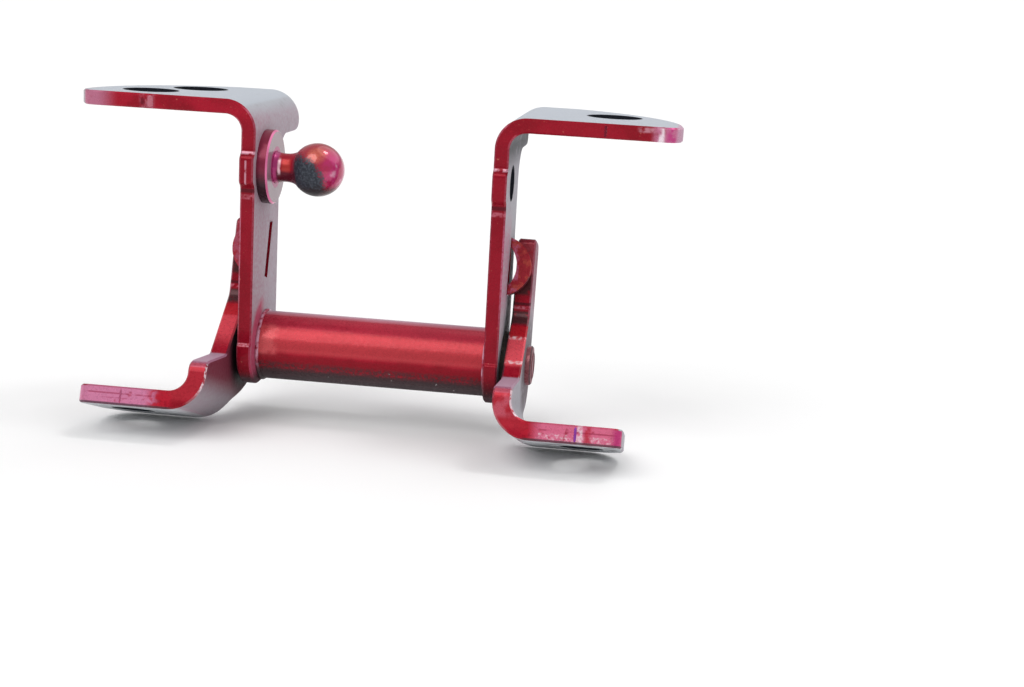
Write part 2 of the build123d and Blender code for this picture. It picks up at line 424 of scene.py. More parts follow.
@dataclass(frozen=True)
class SprayedPaint:
    """Red metallic spray that came from the front, over grey primer that still shows on the flat sides."""

    name: str
    spray_from: Triple = (0.0, -0.966, 0.26)
    red: Colour = (0.37, 0.005, 0.022)
    deep_red: Colour = (0.25, 0.002, 0.012)
    flake: Colour = (0.52, 0.02, 0.035)
    rim_highlight_pink: Colour = (0.60, 0.16, 0.24)
    primer: Colour = (0.45, 0.465, 0.505)
    primer_dirt: Colour = (0.30, 0.30, 0.315)
    mauve: Colour = (0.42, 0.19, 0.265)
    hole_dark: Colour = (0.018, 0.020, 0.028)
    front: float = -12.5
    fade: float = 5.0
    uneven: float = 0.2
    mist: float = 0.75
    rim: float = 0.7
    patch_size: float = 7.0 * MM
    smudge_size: float = 2.5 * MM
    ripple_size: float = 1.7 * MM
    grain_size: float = 0.8 * MM
    flake_size: float = 0.35 * MM
    ripple_depth: float = 0.05 * MM
    hole_edge: tuple[float, float] = (0.05 * MM, 0.4 * MM)
    metal: float = 0.30
    shine: float = 0.26
    specular: float = 0.10
    coat: float = 0.16
    coat_roughness: float = 0.06
    coat_ior: float = 1.45
    bores: tuple[str, ...] = ()
    touches: tuple[Touch, ...] = ()

    def cover(self, sheet: TouchSheet) -> Socket:
        """How much red lies on the surface: full where it faces the spray, fading behind the front edge.

        Args:
            sheet: The material being made.

        Returns:
            Share of red, from 0 to 1.
        """
        drift = sheet.ramp(sheet.measured(Measure.Y), self.front, self.front + 0.4 * self.fade, 0.25, 0.0)
        reach = sheet.math("ADD", sheet.facing(self.spray_from), drift)
        reach = sheet.jitter(reach, sheet.broad, self.uneven)
        return sheet.ramp(sheet.jitter(reach, sheet.fine, self.uneven), 0.34, 0.52)

    def grey_layer(self, sheet: TouchSheet) -> Socket:
        """Primer with dirt, and a mauve mist of red near the front.

        Args:
            sheet: The material being made.

        Returns:
            Colour of the unsprayed surface.
        """
        smudge = sheet.ramp(sheet.noise(self.smudge_size, 4.0), 0.48, 0.75)
        dirt = sheet.times(smudge, sheet.ramp(sheet.broad, 0.35, 0.7, 0.1, 0.6))
        near = sheet.ramp(sheet.measured(Measure.Y), self.front, self.front + 4.0 * self.fade, 1.0, 0.6)
        near = sheet.times(near, sheet.ramp(sheet.measured(Measure.OUTWARD), -0.3, 0.3, 1.0, 0.35))
        near = sheet.times(near, sheet.ramp(sheet.measured(Measure.UP), 0.3, 0.8, 1.0, 0.06))
        dust = sheet.times(near, sheet.ramp(sheet.fine, 0.30, 0.70, 0.5 * self.mist, self.mist))
        return sheet.mix(dust, sheet.mix(dirt, self.primer, self.primer_dirt), self.mauve)

    def red_layer(self, sheet: TouchSheet) -> Socket:
        """Red with clouds, brighter flakes and painted pink highlights on the rims where the edges turn
        away.

        Args:
            sheet: The material being made.

        Returns:
            Colour of the sprayed surface.
        """
        red = sheet.mix(sheet.ramp(sheet.broad, 0.38, 0.68), self.red, self.deep_red)
        flakes = sheet.ramp(sheet.noise(self.flake_size, 1.0), 0.56, 0.70)
        red = sheet.mix(sheet.times(flakes, 0.28), red, self.flake)
        # painted pink highlight on the rims that turn away, broken up by noise
        turned = sheet.band(sheet.measured(Measure.FRONT), 0.63, 0.77, 0.1)
        sides = sheet.ramp(sheet.math("ABSOLUTE", sheet.measured(Measure.NX)), 0.35, 0.55)
        rim_break = sheet.ramp(sheet.fine, 0.32, 0.62, 0.5 * self.rim, self.rim)
        return sheet.mix(sheet.times(sheet.times(turned, sides), rim_break), red, self.rim_highlight_pink)

    def blacken(self, sheet: TouchSheet, colour: Socket) -> Socket:
        """Leaves the walls of the holes dark: bare metal, with painted shade.

        Args:
            sheet: The material being made.
            colour: Colour so far.

        Returns:
            Colour with dark holes.
        """
        for bore in map(Bore.named, self.bores):
            start, end = (bore.radius + edge for edge in self.hole_edge)
            inside = sheet.ramp(sheet.from_line(bore.centre, bore.axis), start, end, 1.0, 0.0)
            colour = sheet.mix(inside, colour, self.hole_dark)
        return colour

    def build(self) -> Material:
        """Makes the material.

        Returns:
            The finished material.
        """
        sheet = TouchSheet(self.name, self.patch_size, self.grain_size)
        ripple = sheet.noise(self.ripple_size, 2.0)
        cover = self.cover(sheet)
        colour = sheet.mix(cover, self.grey_layer(sheet), self.red_layer(sheet))
        for touch in self.touches:
            colour = sheet.lay(colour, touch)
        matt = sheet.ramp(sheet.fine, 0.3, 0.8, 0.50, 0.64)
        sheet.set("Base Color", self.blacken(sheet, colour))
        sheet.set("Metallic", sheet.times(cover, self.metal))
        sheet.set("Roughness", sheet.math("MULTIPLY_ADD", cover, -self.shine, matt))
        sheet.set("Specular IOR Level", self.specular)
        sheet.set("Coat Weight", sheet.times(cover, self.coat))
        sheet.set("Coat Roughness", self.coat_roughness)
        sheet.set("Coat IOR", self.coat_ior)
        sheet.bump(sheet.math("MULTIPLY_ADD", sheet.fine, 0.4, ripple), self.ripple_depth)
        return sheet.material


# what several touches share: ranges of cosines, ranges of millimetres, and colours
FACING: Range = (0.5, 1.0)
EYE: Range = (0.25, 0.95)
INWARD: Range = (-1.0, -0.6)
OUTER: Range = (0.6, 1.0)
UNDERSIDE: Range = (-1.0, -0.85, 0.1)
TUBE_FRONT: Range = (0.2, 1.0, 0.2)
PLATE: Range = (27.0, 33.0)
STOP: Range = (32.6, 44.0, 0.3)
LEAF: Range = (33.0, 39.0)
FLANGE: Range = (56.0, 66.0)
FOOT: Range = (-30.0, -14.0)
COLLAR: Range = (-29.0, -25.5, 0.2)
COLLAR_FACE: Range = (-26.6, -25.6, 0.1)
COLLAR_RIM: Range = (5.2, 10.0)
NECK: Range = (0.0, 4.6)
# colours of painted highlights and glints
PALE_PINK_HIGHLIGHT: Colour = (0.74, 0.40, 0.50)
CREASE_HIGHLIGHT: Colour = (0.95, 0.72, 0.75)
GLINT: Colour = (0.92, 0.80, 0.87)

BRACKET_TOUCHES: tuple[Touch, ...] = (
    # deeper red on the upright plates
    Touch((0.22, 0.002, 0.012), 0.6, front=FACING, out=PLATE, z=(-20.0, 54.0, 5.0)),
    Touch((0.25, 0.003, 0.012), 0.4, front=FACING, x=(36.0, 64.0, 4.0)),
    # bluer primer on the flanges
    Touch((0.5, 0.535, 0.59), 0.85, up=(0.85, 1.0, 0.1), z=FLANGE),
    # the lanced stops: red, orange flecks on the right, mauve on the left, pink roots, painted shade below
    Touch((0.38, 0.022, 0.036), 1.0, out=STOP, z=(12.0, 36.0, 1.0), front=(-0.2, 1.0, 0.5)),
    Touch((0.62, 0.11, 0.07), 0.55, Blotch(1.8, 0.48, 0.66), x=STOP, z=(16.0, 34.0, 1.0),
          front=(0.0, 1.0, 0.5)),
    Touch((0.4, 0.1, 0.16), 0.7, Blotch(1.4, 0.34, 0.6), x=(-44.0, -32.6, 0.3), z=(16.0, 34.0, 1.0),
          front=(0.0, 1.0, 0.5)),
    Touch((0.58, 0.14, 0.25), 0.8, Blotch(1.4, 0.4, 0.6), out=(32.5, 34.4, 0.3), z=(13.0, 36.0, 1.0),
          front=(-0.2, 1.0, 0.5)),
    Touch((0.09, 0.012, 0.02), 0.9, out=STOP, z=(12.0, 24.0, 2.0), up=(-1.0, -0.35)),
    # red mist round the stops, and painted shade with some grime inside the bends
    Touch((0.52, 0.15, 0.25), 0.75, Blotch(0.7, 0.3, 0.62), out=(31.8, 32.4, 0.2), outward=(0.7, 1.0),
          z=(19.0, 31.0, 9.0), y=(-20.0, -4.0, 9.0)),
    Touch((0.05, 0.053, 0.06), 0.9, Blotch(2.4, 0.1, 0.46), out=(31.5, 33.2, 9.0), z=(54.0, 58.4, 7.0),
          up=(-1.0, 0.2), front=(-1.0, 0.45), outward=(0.0, 1.0, 0.3)),
    # painted highlights and a painted shade line at the creases above and below the boss, a painted
    # highlight line down its side, and a painted highlight on the step over the foot
    Touch(PALE_PINK_HIGHLIGHT, 0.7, Blotch(2.0, 0.34, 0.46), front=FACING, out=PLATE, z=(48.9, 49.3, 0.25)),
    Touch((0.09, 0.003, 0.01), 0.85, front=FACING, out=PLATE, z=(39.8, 40.3, 0.5)),
    Touch((0.58, 0.16, 0.22), 0.6, Blotch(1.4, 0.36, 0.6), front=FACING, out=PLATE, z=(38.2, 38.9, 0.4)),
    Touch(PALE_PINK_HIGHLIGHT, 0.55, Blotch(1.6, 0.34, 0.5), front=FACING, x=(-30.6, -30.3, 0.15),
          z=(41.8, 47.2, 0.3)),
    Touch(PALE_PINK_HIGHLIGHT, 0.4, Blotch(1.0, 0.34, 0.6), x=(-33.0, -27.0), z=(2.1, 2.5, 0.3), front=FACING),
    # red round the tube on the left plate, and painted shade that darkens the plates towards their feet
    # between the leaves
    Touch((0.5, 0.045, 0.12), 0.85, x=(-29.5, -27.0), pivot=(0.0, 11.5, 2.5), nx=(0.6, 1.0),
          y=(-20.0, -5.0, 5.0)),
    Touch((0.03, 0.008, 0.014), 0.9, x=(25.0, 36.0), z=(-12.0, -6.5, 6.5)),
    Touch((0.04, 0.018, 0.024), 0.92, x=(-36.0, -25.0), z=(-12.0, -7.4, 3.5)),
    # painted pink reflections and painted glints on the flange tips, a magenta band on the right one, and
    # bare tips
    Touch((0.5, 0.17, 0.27), 0.9, Blotch(3.0, 0.22, 0.44), front=FACING, x=(-80.0, -68.0, 6.0), z=FLANGE),
    Touch((0.4, 0.38, 0.41), 0.9, x=(-80.0, -71.2, 0.7), z=FLANGE),
    Touch((0.6, 0.22, 0.36), 0.8, Blotch(2.2, 0.28, 0.5), front=FACING, x=(66.6, 80.0, 2.2), z=FLANGE),
    Touch((0.5, 0.02, 0.19), 0.75, Blotch(1.6, 0.26, 0.5), front=FACING, x=(69.0, 70.0, 1.2), z=FLANGE),
    Touch((0.56, 0.34, 0.45), 0.85, x=(71.2, 80.0, 1.0), z=FLANGE),
    Touch(GLINT, 0.85, Blotch(2.4, 0.36, 0.6), front=FACING, x=(66.8, 67.4, 0.8), z=(56.0, 61.2)),
    Touch(PALE_PINK_HIGHLIGHT, 0.5, Blotch(1.6, 0.36, 0.6), front=FACING, x=(62.6, 64.8, 1.4), z=(60.3, 60.9, 0.5)),
    # witness mark of the shears on the left flange
    Touch((0.5, 0.16, 0.23), 0.6, Blotch(1.3, 0.3, 0.58), front=FACING, x=(-56.2, -54.2, 1.3),
          z=(57.0, 62.0)),
    Touch((0.12, 0.008, 0.02), 0.75, front=FACING, x=(-56.5, -56.1, 0.5), z=(59.2, 60.0, 0.7)),
    # orange specks
    Touch((0.62, 0.17, 0.12), 0.6, Blotch(0.8, 0.7, 0.75), front=(0.8, 1.0)),
)

LEAF_TOUCHES: tuple[Touch, ...] = (
    # inner faces: grey, dark red across the middle, dark grey above, and painted shade near black round the
    # pin where the plate sits
    Touch((0.3, 0.27, 0.3), 0.7, outward=(-1.0, -0.5), rise=(-24.0, 40.0)),
    Touch((0.17, 0.016, 0.038), 0.95, outward=INWARD, rise=(-10.5, 14.0, 6.0)),
    Touch((0.13, 0.105, 0.115), 0.7, Blotch(3.0, 0.26, 0.6), outward=INWARD, rise=(4.0, 60.0, 8.0)),
    Touch((0.014, 0.011, 0.013), 0.95, outward=INWARD, y=(-10.0, 9.0, 9.0), pivot=(0.0, 9.5, 6.0)),
    # outer faces: pink mist on the tongue, grime round the pin
    Touch((0.3, 0.085, 0.13), 0.85, Blotch(0.8, 0.1, 0.5), outward=OUTER, rise=(20.0, 40.0, 12.0)),
    Touch((0.13, 0.095, 0.11), 0.9, Blotch(2.6, 0.16, 0.46), outward=OUTER, pivot=(0.0, 8.5, 6.5)),
    # ledge
    Touch((0.42, 0.2, 0.3), 0.75, up=(0.7, 1.0, 0.1), rise=(-11.0, -5.0, 0.6), out=(33.0, 39.0, 1.0)),
    # eye: a painted highlight on the facet between two creases, painted highlights on the creases, dark neck
    # above, then a painted highlight line and a painted shade line where the tongue starts
    Touch((0.86, 0.1, 0.13), 0.9, front=EYE, z=(3.0, 7.8, 0.9), x=LEAF, rise=(-5.0, 12.0, 0.5)),
    Touch((0.84, 0.08, 0.11), 0.85, front=EYE, z=(5.0, 7.0, 4.0), x=(-39.0, -33.0), rise=(-5.0, 12.0, 0.5)),
    Touch((0.52, 0.012, 0.022), 0.85, front=EYE, z=(8.2, 10.0, 0.5), out=LEAF),
    Touch(CREASE_HIGHLIGHT, 0.8, Blotch(1.0, 0.36, 0.58), front=EYE, z=(7.7, 8.0, 0.3), x=LEAF),
    Touch(CREASE_HIGHLIGHT, 0.75, Blotch(0.9, 0.4, 0.6), front=EYE, z=(3.0, 3.3, 0.3), x=LEAF),
    Touch((0.06, 0.03, 0.033), 0.9, Blotch(1.2, 0.22, 0.44), outward=(-0.5, 0.5), y=(-3.5, 6.0, 1.2),
          z=(11.0, 13.0, 0.8), out=LEAF),
    Touch((0.62, 0.2, 0.27), 0.7, Blotch(1.2, 0.32, 0.56), front=FACING, z=(14.0, 14.4, 0.3), out=LEAF),
    Touch((0.08, 0.006, 0.014), 0.85, front=FACING, z=(14.9, 15.3, 0.3), out=LEAF),
    # tongue: pinker at its top, a brown painted shadow under the stop
    Touch((0.36, 0.075, 0.1), 0.6, Blotch(2.2, 0.26, 0.56), front=FACING, z=(21.5, 40.0, 2.0), out=LEAF),
    Touch((0.055, 0.018, 0.02), 0.9, Blotch(1.6, 0.22, 0.46), front=FACING, z=(17.8, 21.8, 1.0),
          out=(33.0, 37.4, 0.9)),
    # bends and feet, with painted pink reflections on the front edges of the feet and painted light under
    # them
    Touch((0.5, 0.028, 0.046), 0.6, front=FACING, rise=(-17.0, -8.0, 2.0), out=(33.0, 42.0, 3.0)),
    Touch((0.58, 0.12, 0.17), 0.65, Blotch(3.0, 0.34, 0.54), front=FACING, rise=(-14.5, -9.5, 1.5),
          x=(33.0, 40.0)),
    # painted pink reflections on the front edges of the feet
    Touch((0.64, 0.22, 0.38), 0.92, Blotch(1.8, 0.18, 0.4), front=FACING, x=(-80.0, -46.8, 3.4),
          rise=FOOT),
    Touch((0.46, 0.01, 0.028), 0.9, Blotch(1.6, 0.42, 0.54), front=FACING, out=(42.5, 45.0, 3.0),
          rise=FOOT),
    Touch((0.72, 0.16, 0.28), 0.92, Blotch(1.8, 0.2, 0.42), front=FACING, x=(46.0, 80.0, 4.0), rise=FOOT),
    Touch((0.3, 0.012, 0.05), 0.6, Blotch(4.0, 0.4, 0.52), front=FACING, out=(46.0, 62.0, 2.0),
          rise=(-17.6, -17.4, 0.16)),
    Touch((0.34, 0.03, 0.09), 0.5, Blotch(3.0, 0.48, 0.6), front=FACING, x=(-62.0, -47.0, 1.0),
          rise=(-18.6, -18.5, 0.14)),
    Touch(GLINT, 0.6, Blotch(0.55, 0.42, 0.76), front=FACING, x=(45.0, 61.5, 1.0),
          rise=(-19.5, -18.5, 0.5)),
    Touch(GLINT, 0.65, Blotch(1.0, 0.32, 0.6), front=FACING, x=(53.9, 54.5, 0.6), rise=FOOT),
    Touch((0.46, 0.012, 0.03), 0.8, Blotch(1.4, 0.26, 0.52), front=FACING, x=(55.7, 56.3, 0.9), rise=FOOT),
    Touch((0.5, 0.02, 0.17), 0.8, Blotch(1.4, 0.24, 0.5), front=FACING, x=(62.6, 64.0, 1.6), rise=FOOT),
    Touch((0.06, 0.035, 0.045), 0.85, front=FACING, out=(42.0, 80.0, 2.0), rise=(-22.0, -19.8, 0.25)),
    Touch(GLINT, 0.75, Blotch(0.9, 0.36, 0.56), nx=(0.45, 0.9), front=(0.4, 0.85), out=(30.0, 43.0),
          rise=(-15.0, -8.0, 2.0)),
    # painted light that lifts the shaded undersides of the feet
    Touch((0.54, 0.57, 0.59), 0.85, up=UNDERSIDE, out=(42.0, 80.0, 6.0), rise=(-30.0, -19.8)),
    Touch((0.1, 0.095, 0.105), 0.7, Blotch(2.4, 0.46, 0.64), up=UNDERSIDE, x=(47.0, 61.0, 4.0),
          rise=(-30.0, -19.8)),
)

TUBE_TOUCHES: tuple[Touch, ...] = (
    # pale top line, red band, painted highlights, painted shade band, grimy dark underside with painted
    # shade, pale flecks
    Touch((0.48, 0.24, 0.31), 0.8, up=(0.975, 1.0, 0.025)),
    Touch((0.46, 0.035, 0.065), 0.6, up=(0.72, 0.96, 0.08), front=(0.1, 1.0, 0.1)),
    Touch((0.56, 0.055, 0.068), 0.75, up=(0.1, 0.6, 0.16), front=TUBE_FRONT),
    Touch((0.72, 0.13, 0.14), 0.6, Blotch(1.8, 0.26, 0.56), up=(0.0, 0.65, 0.2), front=TUBE_FRONT,
          x=(-27.2, -24.5, 2.0)),
    Touch((0.25, 0.004, 0.014), 0.85, up=(-0.35, -0.12, 0.12), front=TUBE_FRONT),
    Touch((0.05, 0.031, 0.036), 0.7, Blotch(0.6, 0.34, 0.56), up=(-1.0, -0.36, 0.16)),
    Touch((0.055, 0.035, 0.04), 0.95, up=(-1.0, -0.6, 0.2)),
    Touch((0.75, 0.72, 0.72), 1.0, Blotch(1.2, 0.72, 0.745), up=(-0.78, -0.45, 0.1)),
)

PIN_TOUCHES: tuple[Touch, ...] = (
    # blotched heads with paler rims and dark rounded edges
    Touch((0.33, 0.13, 0.15), 0.85, Blotch(1.8, 0.14, 0.46), outward=(0.5, 1.0)),
    Touch((0.48, 0.17, 0.19), 0.85, Blotch(1.2, 0.22, 0.5), outward=(-0.3, 0.3), front=(0.2, 1.0, 0.3)),
    Touch((0.05, 0.03, 0.035), 0.7, outward=(0.3, 0.85, 0.1)),
)

STUD_TOUCHES: tuple[Touch, ...] = (
    # collar: dark rim with painted shade along its underside, a painted pink highlight on its edge, grey
    # face
    Touch((0.22, 0.022, 0.055), 0.95, x=COLLAR, stud=COLLAR_RIM, nx=(-0.3, 0.3)),
    Touch((0.02, 0.013, 0.018), 0.9, x=COLLAR, stud=COLLAR_RIM, nx=(-0.3, 0.3),
          up=(-1.0, -0.45, 0.6)),
    Touch((0.32, 0.255, 0.285), 0.95, x=COLLAR_FACE, stud=(4.8, 10.0), nx=(0.9, 1.0, 0.05)),
    Touch((0.8, 0.2, 0.4), 0.95, x=COLLAR_FACE, stud=(7.0, 10.0), nx=(0.45, 0.85, 0.1)),
    # neck: violet root, painted shade below, orange and white painted gleams
    Touch((0.42, 0.045, 0.19), 0.85, x=(-26.2, -24.9, 0.4), stud=(0.0, 4.9, 0.3)),
    Touch((0.08, 0.003, 0.014), 0.9, x=(-24.9, -20.0, 0.5), stud=NECK, up=(-1.0, -0.3, 0.4)),
    Touch((0.54, 0.05, 0.035), 0.7, x=(-23.4, -22.0, 0.8), stud=NECK, up=(0.0, 0.5, 0.3)),
    Touch((0.95, 0.62, 0.7), 0.85, Blotch(0.9, 0.26, 0.5), x=(-24.6, -24.3, 0.35), stud=NECK,
          up=(-0.2, 0.5, 0.3)),
    # tail: primer like the plate that it is riveted to
    Touch((0.36, 0.24, 0.285), 0.85, Blotch(1.0, 0.12, 0.5), x=(-60.0, -31.0, 0.4),
          front=(-1.0, 0.3, 0.3)),
)

@dataclass(frozen=True)
class RubbedBall:
    """Red spray on the stud, rubbed to dark greasy steel where a socket turned on the ball."""

    name: str
    ball_from: float = -21.4
    ball_fade: float = 1.2
    neck_dull: tuple[float, float] = (-22.0, -20.4)
    red: Colour = (0.38, 0.006, 0.026)
    magenta: Colour = (0.56, 0.015, 0.17)
    magenta_from: Triple = (0.86, -0.48, 0.1)
    streak: Colour = (0.66, 0.15, 0.09)
    streak_from: Triple = (0.10, -0.75, 0.65)
    pale_reflection: Colour = (0.80, 0.46, 0.58)
    pale_reflection_from: Triple = (0.88, -0.47, -0.02)
    steel: Colour = (0.022, 0.026, 0.037)
    steel_pale: Colour = (0.080, 0.090, 0.112)
    rubbed_from: Triple = (-0.53, -0.76, -0.38)
    # dark colour painted as a dark reflection under the ball
    under: Colour = (0.026, 0.023, 0.025)
    speck_size: float = 0.55 * MM
    speck_detail: float = 4.0
    cloud_size: float = 3.0 * MM
    grit_depth: float = 0.02 * MM
    painted_light_share: float = 0.65
    metal: float = 0.3
    metal_lost: float = 0.15
    roughness: float = 0.26
    roughness_gained: float = 0.22
    specular: float = 0.2
    coat: float = 0.8
    coat_lost: float = 0.72
    coat_roughness: float = 0.05
    coat_ior: float = 1.6

    def red_layer(self, sheet: TouchSheet, on_ball: Socket) -> Socket:
        """Red that turns magenta on the right, with an orange streak of painted gleam and a pale painted
        reflection.

        Args:
            sheet: The material being made.
            on_ball: 1 on the ball, 0 on the neck and beyond.

        Returns:
            Colour of the paint.
        """
        # painted gleam and painted pale reflection, on the ball only
        painted_light = sheet.times(on_ball, self.painted_light_share)
        right = sheet.times(sheet.ramp(sheet.facing(self.magenta_from), 0.55, 0.95),
                            sheet.ramp(sheet.broad, 0.30, 0.60, 0.4, 1.0))
        red = sheet.mix(right, self.red, self.magenta)
        gleam = sheet.times(sheet.ramp(sheet.facing(self.streak_from), 0.90, 0.99),
                            sheet.ramp(sheet.fine, 0.3, 0.6, 0.5, 1.0))
        red = sheet.mix(sheet.times(gleam, painted_light), red, self.streak)
        reflecting = sheet.times(sheet.ramp(sheet.facing(self.pale_reflection_from), 0.86, 0.97),
                              sheet.ramp(sheet.broad, 0.48, 0.62))
        return sheet.mix(sheet.times(reflecting, painted_light), red, self.pale_reflection)

    def build(self) -> Material:
        """Makes the material.

        Returns:
            The finished material.
        """
        sheet = TouchSheet(self.name, self.cloud_size, self.speck_size, self.speck_detail)
        along = sheet.measured(Measure.X)
        on_ball = sheet.ramp(along, self.ball_from, self.ball_from + self.ball_fade)
        reach = sheet.jitter(sheet.jitter(sheet.facing(self.rubbed_from), sheet.fine, 0.5), sheet.broad, 0.3)
        rub = sheet.times(sheet.ramp(reach, 0.42, 0.66), on_ball)
        # painted dark reflection on the underside of the ball
        low = sheet.ramp(sheet.jitter(sheet.measured(Measure.UP), sheet.fine, 0.5), -0.75, -0.45, 0.9, 0.0)
        steel = sheet.mix(sheet.ramp(sheet.fine, 0.38, 0.78), self.steel, self.steel_pale)
        colour = sheet.mix(rub, self.red_layer(sheet, on_ball), steel)
        colour = sheet.mix(sheet.times(low, on_ball), colour, self.under)
        for touch in STUD_TOUCHES:
            colour = sheet.lay(colour, touch)
        dull = sheet.math("MAXIMUM", rub, sheet.ramp(along, *self.neck_dull, 1.0, 0.0))
        dull = sheet.math("MAXIMUM", dull, low)
        sheet.set("Base Color", colour)
        sheet.set("Metallic", sheet.math("MULTIPLY_ADD", rub, -self.metal_lost, self.metal))
        sheet.set("Roughness", sheet.math("MULTIPLY_ADD", rub, self.roughness_gained, self.roughness))
        sheet.set("Specular IOR Level", self.specular)
        sheet.set("Coat Weight", sheet.math("MULTIPLY_ADD", dull, -self.coat_lost, self.coat))
        sheet.set("Coat Roughness", self.coat_roughness)
        sheet.set("Coat IOR", self.coat_ior)
        sheet.bump(sheet.math("MULTIPLY_ADD", sheet.broad, 0.3, sheet.fine), self.grit_depth)
        return sheet.material


@dataclass(frozen=True)
class BushBronze:
    """Dark, greasy bronze of the pin bushes."""

    name: str
    bright: Colour = (0.050, 0.038, 0.028)
    dark: Colour = (0.012, 0.010, 0.010)
    smear_size: float = 1.8 * MM
    smear_depth: float = 0.05 * MM
    metal: float = 0.5

    def build(self) -> Material:
        """Makes the material.

        Returns:
            The finished material.
        """
        sheet = NodeSheet(self.name)
        smear = sheet.noise(self.smear_size, 4.0)
        sheet.set("Base Color", sheet.mix(sheet.ramp(smear, 0.35, 0.7), self.bright, self.dark))
        sheet.set("Metallic", self.metal)
        sheet.set("Roughness", sheet.ramp(smear, 0.3, 0.8, 0.38, 0.62))
        sheet.bump(smear, self.smear_depth)
        return sheet.material


@dataclass(frozen=True)
class SeamPaint:
    """Pale pink paint that gathered at a seam, partly a painted highlight, broken by red, and dark
    underneath with grime and painted shade.
    """

    name: str
    pale: Colour = (0.62, 0.34, 0.45)
    red: Colour = (0.36, 0.02, 0.06)
    grime_and_shade: Colour = (0.05, 0.03, 0.035)
    grime_and_shade_from: tuple[float, float] = (-6.0 * MM, -1.0 * MM)
    break_size: float = 2.2 * MM
    grain_size: float = 0.6 * MM
    grain_depth: float = 0.03 * MM
    specular: float = 0.3

    def build(self) -> Material:
        """Makes the material.

        Returns:
            The finished material.
        """
        sheet = NodeSheet(self.name)
        broken = sheet.ramp(sheet.noise(self.break_size), 0.42, 0.62)
        under = sheet.ramp(sheet.along(UP), *self.grime_and_shade_from, 1.0, 0.0)
        matt = sheet.math("MAXIMUM", broken, under)
        sheet.set("Base Color", sheet.mix(under, sheet.mix(broken, self.pale, self.red), self.grime_and_shade))
        sheet.set("Roughness", sheet.math("MULTIPLY_ADD", matt, 0.2, 0.3))
        sheet.set("Specular IOR Level", self.specular)
        sheet.bump(sheet.noise(self.grain_size, 2.0), self.grain_depth)
        return sheet.material


@dataclass(frozen=True)
class PaleFloor:
    """Plain white paper under and behind the hinge."""

    name: str
    paper: Colour = (0.95, 0.95, 0.95)
    shade: Colour = (0.94, 0.94, 0.94)
    cloud_size: float = 30.0 * MM
    roughness: float = 0.9

    def build(self) -> Material:
        """Makes the material.

        Returns:
            The finished material.
        """
        sheet = NodeSheet(self.name)
        cloud = sheet.ramp(sheet.noise(self.cloud_size), 0.3, 0.7)
        sheet.set("Base Color", sheet.mix(cloud, self.paper, self.shade))
        sheet.set("Roughness", self.roughness)
        sheet.set("Specular IOR Level", 0.0)
        return sheet.material


def put_in_scene(name: str, data: bpy.types.ID) -> Piece:
    """Makes an object of a mesh, a lamp or a camera and links it to the scene.

    Args:
        name: Name of the object.
        data: What it shows.

    Returns:
        The new object, at the origin.
    """
    thing = bpy.data.objects.new(name, data)
    bpy.context.scene.collection.objects.link(thing)
    return thing


class Closing(Enum):
    """How a grid of points closes into a surface."""

    SHEET = "open on all sides"
    TUBE = "columns join into rings, and one face closes each end"
    RING = "columns join into rings, and the last row joins the first"


